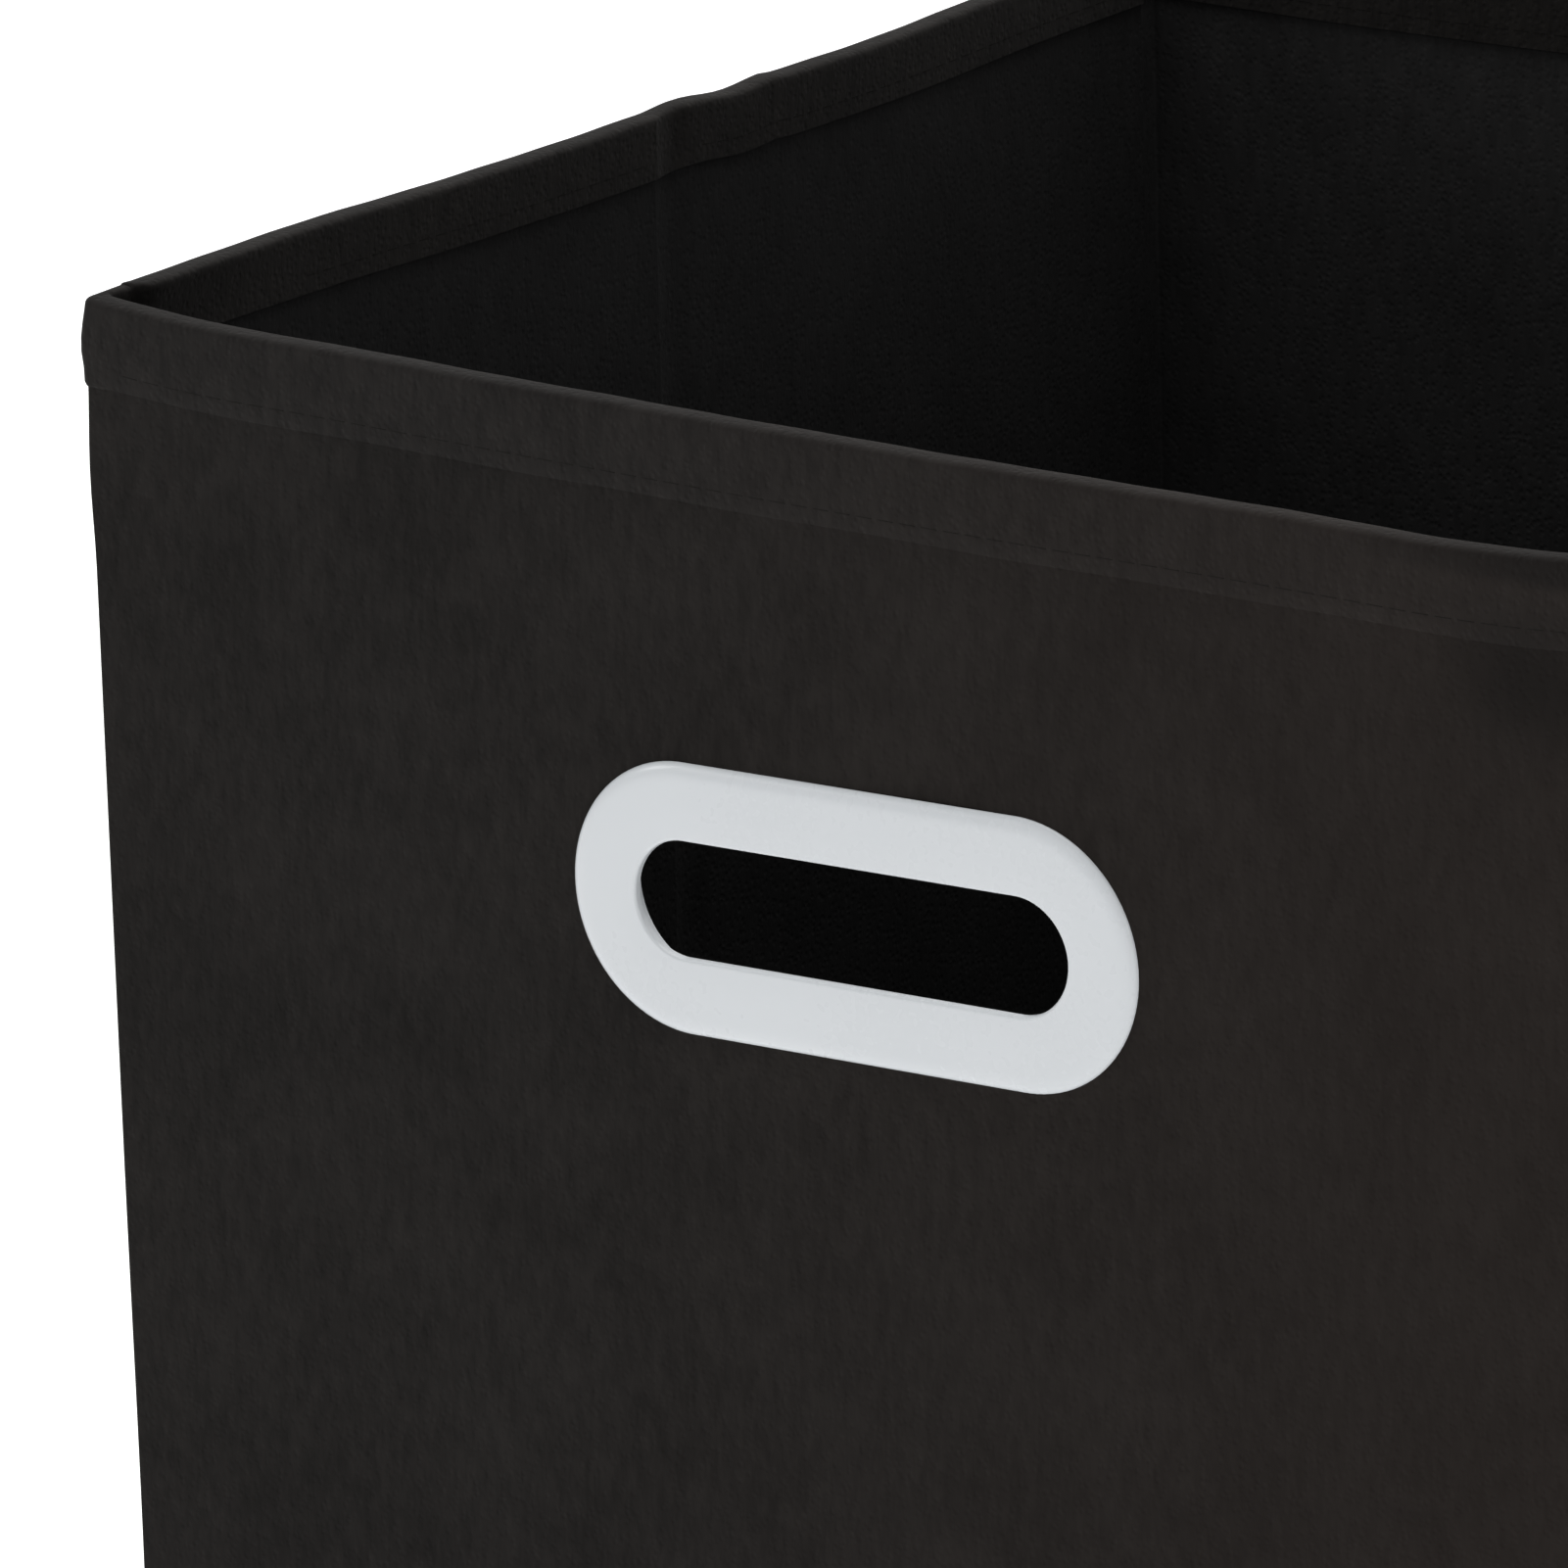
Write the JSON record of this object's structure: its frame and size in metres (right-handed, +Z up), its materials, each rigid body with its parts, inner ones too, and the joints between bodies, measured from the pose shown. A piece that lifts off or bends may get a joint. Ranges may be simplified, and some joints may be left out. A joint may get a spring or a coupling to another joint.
{
  "type": "collapsible fabric storage cube",
  "caption": "Square open-topped storage cube of dark non-woven fabric over chipboard, with oval finger-hole eyelets and creased side walls that fold in so it closes flat.",
  "frame": {"origin": "on the floor, under the middle of the cube", "axes": "+Z up, -Y out of the front wall, +X to the right as the front is seen; the side walls are at -X and +X"},
  "size_m": [0.305, 0.3084, 0.305],
  "materials": {
    "cover_fabric": "matte",
    "lining_fabric": "matte",
    "hem_fabric": "matte",
    "web_fabric": "matte",
    "floor_fabric": "matte",
    "chipboard": "matte",
    "white_plastic": "gloss"
  },
  "bodies": {
    "front_wall": {"front_board": "chipboard", "front_cover": "cover_fabric", "front_lining": "lining_fabric", "front_hem": "hem_fabric", "front_handle_flange": "white_plastic", "front_handle_back_ring": "white_plastic", "front_left_corner_web": "web_fabric", "front_right_corner_web": "web_fabric", "left_foot_web": "web_fabric", "right_foot_web": "web_fabric", "back_foot_web": "web_fabric", "floor_fabric_panel": "floor_fabric"},
    "left_front_wing": {"left_front_board": "chipboard", "left_front_cover": "cover_fabric", "left_front_lining": "lining_fabric", "left_front_hem": "hem_fabric", "left_crease_web": "web_fabric"},
    "left_rear_wing": {"left_rear_board": "chipboard", "left_rear_cover": "cover_fabric", "left_rear_lining": "lining_fabric", "left_rear_hem": "hem_fabric"},
    "right_front_wing": {"right_front_board": "chipboard", "right_front_cover": "cover_fabric", "right_front_lining": "lining_fabric", "right_front_hem": "hem_fabric", "right_crease_web": "web_fabric"},
    "right_rear_wing": {"right_rear_board": "chipboard", "right_rear_cover": "cover_fabric", "right_rear_lining": "lining_fabric", "right_rear_hem": "hem_fabric"},
    "back_wall": {"back_board": "chipboard", "back_cover": "cover_fabric", "back_lining": "lining_fabric", "back_hem": "hem_fabric", "back_handle_flange": "white_plastic", "back_handle_back_ring": "white_plastic", "back_left_corner_web": "web_fabric", "back_right_corner_web": "web_fabric"},
    "base_board": {"base_core": "chipboard", "base_sleeve": "lining_fabric", "base_pull_tab": "hem_fabric"}
  },
  "joints": [
    {"name": "left_front_fold", "type": "hinge", "parent": "front_wall", "child": "left_front_wing", "pos_m": [-0.1525, -0.1423, 0], "axis": [0, 0, -1], "range_deg": [0, 90], "deforming": ["front_left_corner_web", "front_right_corner_web", "left_crease_web", "right_crease_web", "back_left_corner_web", "back_right_corner_web", "left_foot_web", "right_foot_web", "back_foot_web", "floor_fabric_panel"]},
    {"name": "left_crease_fold", "type": "hinge", "parent": "left_front_wing", "child": "left_rear_wing", "pos_m": [-0.1535, 0, 0], "axis": [0, 0, -1], "range_deg": [-180, 0]},
    {"name": "back_fold", "type": "hinge", "parent": "left_rear_wing", "child": "back_wall", "pos_m": [-0.1525, 0.1423, 0], "axis": [0, 0, -1], "range_deg": [0, 90]},
    {"name": "right_front_fold", "type": "hinge", "parent": "front_wall", "child": "right_front_wing", "pos_m": [0.1525, -0.1423, 0], "axis": [0, 0, 1], "range_deg": [0, 90]},
    {"name": "right_crease_fold", "type": "hinge", "parent": "right_front_wing", "child": "right_rear_wing", "pos_m": [0.1535, 0, 0], "axis": [0, 0, 1], "range_deg": [-180, 0]},
    {"name": "base_lift", "type": "slide", "parent": "front_wall", "child": "base_board", "axis": [0, 0, 1], "range_m": [0, 0.31]}
  ],
  "couplings": [
    {"joint": "left_crease_fold", "follows": "left_front_fold", "ratio": -2},
    {"joint": "back_fold", "follows": "left_front_fold", "ratio": 1},
    {"joint": "right_front_fold", "follows": "left_front_fold", "ratio": 1},
    {"joint": "right_crease_fold", "follows": "left_front_fold", "ratio": -2}
  ]
}
